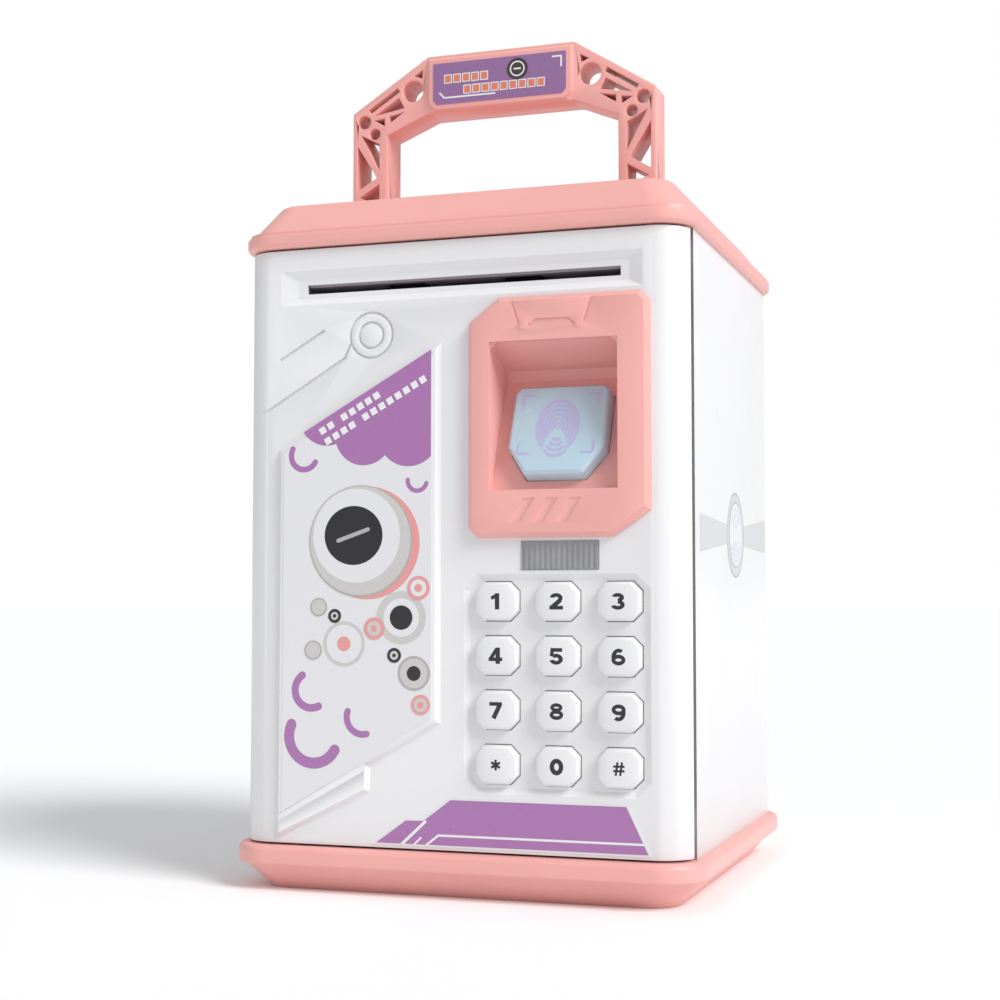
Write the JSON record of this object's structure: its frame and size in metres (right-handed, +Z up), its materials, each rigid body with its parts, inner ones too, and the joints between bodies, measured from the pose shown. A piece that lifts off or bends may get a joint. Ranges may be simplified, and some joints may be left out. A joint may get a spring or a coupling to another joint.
{
  "type": "toy atm savings bank",
  "caption": "Toy cash-machine money box with a hinged front door, keypad, fingerprint button, note slot with rollers and a folding carry handle.",
  "frame": {"origin": "centre of the footprint on the surface the box stands on", "axes": "+Z up, front door faces -Y, +X to the right seen from the front"},
  "size_m": [0.134, 0.129, 0.2422],
  "materials": {
    "pink_plastic": "moulded pink plastic, satin gloss",
    "white_plastic": "moulded white plastic, satin gloss",
    "key_plastic": "moulded white keys with printed digits",
    "steel": "plated steel",
    "cell_wrap": "plain printed cell jacket",
    "grey_print": "printed grey label",
    "purple_print": "printed glossy label",
    "grey_rubber": "silicone rubber",
    "board_laminate": "green solder mask",
    "black_plastic": "matte black plastic",
    "grey_plastic": "matte grey plastic",
    "lamp_resin": "clear lamp resin",
    "clear_plastic": "clear ribbed lens",
    "blue_translucent": "translucent pale blue plastic",
    "black_rubber": "black rubber tyres",
    "gear_plastic": "natural acetal",
    "motor_steel": "zinc plated motor can"
  },
  "bodies": {
    "housing": {"base_tray": "pink_plastic", "top_lid": "pink_plastic", "body_shell": "white_plastic", "hinge_pins": "steel", "handle_pins": "steel", "base_screws": "steel", "lid_screws": "steel", "battery_box": "white_plastic", "battery_cover": "pink_plastic", "battery_cells": "cell_wrap", "battery_contacts": "steel", "battery_screw": "steel", "side_sticker_right": "grey_print", "side_sticker_left": "grey_print"},
    "door": {"door_panel": "white_plastic", "door_inner_cover": "white_plastic", "door_screws": "steel", "door_sticker": "purple_print", "lower_sticker": "purple_print", "keypad_membrane": "grey_rubber", "circuit_board": "board_laminate", "control_chip": "black_plastic", "indicator_lamps": "lamp_resin", "board_screws": "steel", "indicator_window": "clear_plastic", "fingerprint_bezel": "pink_plastic", "button_switch": "black_plastic", "speaker": "black_plastic", "note_guide": "grey_plastic", "flag_pin": "steel", "feed_motor": "motor_steel", "lock_motor": "motor_steel"},
    "handle": {"carry_handle": "pink_plastic", "handle_label": "purple_print"},
    "print_button": {"fingerprint_button": "blue_translucent"},
    "feed_roller": {"roller_shaft": "steel", "drive_rollers": "black_rubber", "roller_gear": "gear_plastic"},
    "feed_pinion_body": {"feed_pinion": "gear_plastic"},
    "pinch_roller": {"pinch_shaft": "steel", "pinch_rollers": "black_rubber"},
    "sensor_flag": {"note_sensor_flag": "pink_plastic"},
    "bolt": {"lock_bolt": "gear_plastic"},
    "lock_pinion_body": {"lock_pinion": "gear_plastic"},
    "key_1_body": {"key_1": "key_plastic"},
    "key_2_body": {"key_2": "key_plastic"},
    "key_3_body": {"key_3": "key_plastic"},
    "key_4_body": {"key_4": "key_plastic"},
    "key_5_body": {"key_5": "key_plastic"},
    "key_6_body": {"key_6": "key_plastic"},
    "key_7_body": {"key_7": "key_plastic"},
    "key_8_body": {"key_8": "key_plastic"},
    "key_9_body": {"key_9": "key_plastic"},
    "key_star_body": {"key_star": "key_plastic"},
    "key_0_body": {"key_0": "key_plastic"},
    "key_hash_body": {"key_hash": "key_plastic"}
  },
  "joints": [
    {"name": "door_hinge", "type": "hinge", "parent": "housing", "child": "door", "pos_m": [0.0574, -0.0549, 0.095], "axis": [0, 0, 1], "range_deg": [0, 100]},
    {"name": "handle_pivot", "type": "hinge", "parent": "housing", "child": "handle", "pos_m": [0, -0.0175, 0.1891], "axis": [1, 0, 0], "range_deg": [-90, 0]},
    {"name": "print_press", "type": "slide", "parent": "door", "child": "print_button", "axis": [0, 0.9208, -0.3899], "range_m": [0, 0.0015], "stiffness_N_per_m": 400, "springref_m": -0.0005},
    {"name": "feed_turn", "type": "hinge", "parent": "door", "child": "feed_roller", "pos_m": [0, -0.05, 0.1621], "axis": [1, 0, 0], "continuous": true},
    {"name": "feed_pinion_turn", "type": "hinge", "parent": "door", "child": "feed_pinion_body", "pos_m": [-0.05, -0.05, 0.1531], "axis": [1, 0, 0], "continuous": true},
    {"name": "pinch_turn", "type": "hinge", "parent": "door", "child": "pinch_roller", "pos_m": [0, -0.05, 0.17], "axis": [1, 0, 0], "continuous": true},
    {"name": "note_flag_tilt", "type": "hinge", "parent": "door", "child": "sensor_flag", "pos_m": [-0.002, -0.0445, 0.1713], "axis": [1, 0, 0], "range_deg": [0, 40], "stiffness_Nm_per_rad": 0.0002},
    {"name": "bolt_slide", "type": "slide", "parent": "door", "child": "bolt", "axis": [-1, 0, 0], "range_m": [0, 0.0038]},
    {"name": "lock_pinion_turn", "type": "hinge", "parent": "door", "child": "lock_pinion_body", "pos_m": [-0.04, -0.04507, 0.0955], "axis": [0, 0, 1], "range_deg": [-90, 90]},
    {"name": "key_1_press", "type": "slide", "parent": "door", "child": "key_1_body", "axis": [0, 1, 0], "range_m": [0, 0.0012], "stiffness_N_per_m": 500, "springref_m": -0.0005},
    {"name": "key_2_press", "type": "slide", "parent": "door", "child": "key_2_body", "axis": [0, 1, 0], "range_m": [0, 0.0012], "stiffness_N_per_m": 500, "springref_m": -0.0005},
    {"name": "key_3_press", "type": "slide", "parent": "door", "child": "key_3_body", "axis": [0, 1, 0], "range_m": [0, 0.0012], "stiffness_N_per_m": 500, "springref_m": -0.0005},
    {"name": "key_4_press", "type": "slide", "parent": "door", "child": "key_4_body", "axis": [0, 1, 0], "range_m": [0, 0.0012], "stiffness_N_per_m": 500, "springref_m": -0.0005},
    {"name": "key_5_press", "type": "slide", "parent": "door", "child": "key_5_body", "axis": [0, 1, 0], "range_m": [0, 0.0012], "stiffness_N_per_m": 500, "springref_m": -0.0005},
    {"name": "key_6_press", "type": "slide", "parent": "door", "child": "key_6_body", "axis": [0, 1, 0], "range_m": [0, 0.0012], "stiffness_N_per_m": 500, "springref_m": -0.0005},
    {"name": "key_7_press", "type": "slide", "parent": "door", "child": "key_7_body", "axis": [0, 1, 0], "range_m": [0, 0.0012], "stiffness_N_per_m": 500, "springref_m": -0.0005},
    {"name": "key_8_press", "type": "slide", "parent": "door", "child": "key_8_body", "axis": [0, 1, 0], "range_m": [0, 0.0012], "stiffness_N_per_m": 500, "springref_m": -0.0005},
    {"name": "key_9_press", "type": "slide", "parent": "door", "child": "key_9_body", "axis": [0, 1, 0], "range_m": [0, 0.0012], "stiffness_N_per_m": 500, "springref_m": -0.0005},
    {"name": "key_star_press", "type": "slide", "parent": "door", "child": "key_star_body", "axis": [0, 1, 0], "range_m": [0, 0.0012], "stiffness_N_per_m": 500, "springref_m": -0.0005},
    {"name": "key_0_press", "type": "slide", "parent": "door", "child": "key_0_body", "axis": [0, 1, 0], "range_m": [0, 0.0012], "stiffness_N_per_m": 500, "springref_m": -0.0005},
    {"name": "key_hash_press", "type": "slide", "parent": "door", "child": "key_hash_body", "axis": [0, 1, 0], "range_m": [0, 0.0012], "stiffness_N_per_m": 500, "springref_m": -0.0005}
  ],
  "couplings": [
    {"joint": "feed_pinion_turn", "follows": "feed_turn", "ratio": -2},
    {"joint": "pinch_turn", "follows": "feed_turn", "ratio": -1.4062},
    {"joint": "lock_pinion_turn", "follows": "bolt_slide", "rad_per_m": -333.33}
  ]
}
